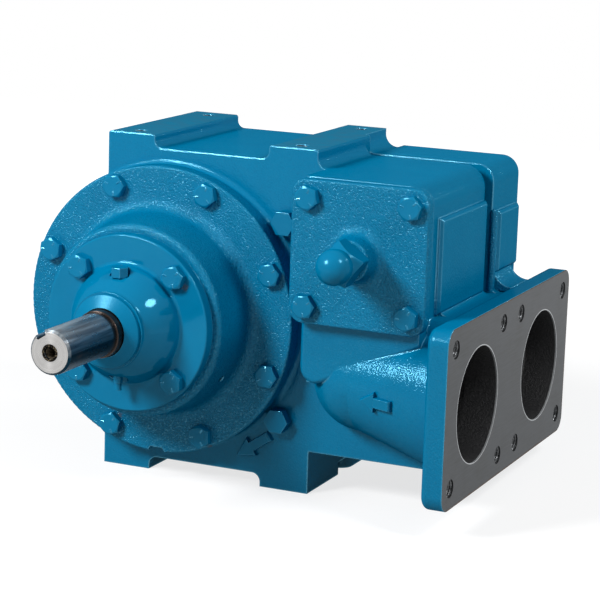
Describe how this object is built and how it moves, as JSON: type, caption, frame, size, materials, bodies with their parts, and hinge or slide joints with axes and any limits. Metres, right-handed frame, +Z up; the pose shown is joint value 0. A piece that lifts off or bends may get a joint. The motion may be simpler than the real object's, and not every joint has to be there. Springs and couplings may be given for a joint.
{
  "type": "rotary vane pump",
  "caption": "Foot-mounted rotary vane pump for liquids, with side-by-side flanged ports, a relief valve housing and a bare keyed shaft for a coupling.",
  "frame": {"origin": "under the pump, on the underside of the feet, at the centre of their four tapped holes", "axes": "+Z up, -Y out along the shaft to the coupling end, +X out of the two ports"},
  "size_m": [0.425, 0.486, 0.308],
  "materials": {
    "painted_cast_iron": "semi-gloss",
    "machined_steel": "turned",
    "gasket_sheet": "matt",
    "bare_cast_iron": "machined",
    "vane_composite": "matt"
  },
  "bodies": {
    "housing": {"casing": "painted_cast_iron", "front_head": "painted_cast_iron", "back_head": "painted_cast_iron", "front_cover_gasket": "gasket_sheet", "back_cover_gasket": "gasket_sheet", "front_bearing_cover": "painted_cast_iron", "back_bearing_cover": "painted_cast_iron", "dust_shield": "machined_steel", "liner": "bare_cast_iron", "front_end_disc": "bare_cast_iron", "back_end_disc": "bare_cast_iron", "relief_valve_gasket": "gasket_sheet", "relief_valve_cover": "painted_cast_iron", "relief_valve_cap": "painted_cast_iron", "front_upper_plug": "painted_cast_iron", "front_lower_plug": "painted_cast_iron", "back_upper_plug": "painted_cast_iron", "back_lower_plug": "painted_cast_iron", "front_grease_plug": "painted_cast_iron", "front_grease_relief": "painted_cast_iron", "back_grease_plug": "painted_cast_iron", "back_grease_relief": "painted_cast_iron"},
    "rotor": {"shaft": "machined_steel", "rotor": "bare_cast_iron", "vane_1": "vane_composite", "vane_2": "vane_composite", "vane_3": "vane_composite", "vane_4": "vane_composite", "vane_5": "vane_composite", "vane_6": "vane_composite"}
  },
  "joints": [
    {"name": "rotor_spin", "type": "hinge", "parent": "housing", "child": "rotor", "pos_m": [-0.0375, 0, 0.154], "axis": [0, 1, 0], "continuous": true}
  ]
}
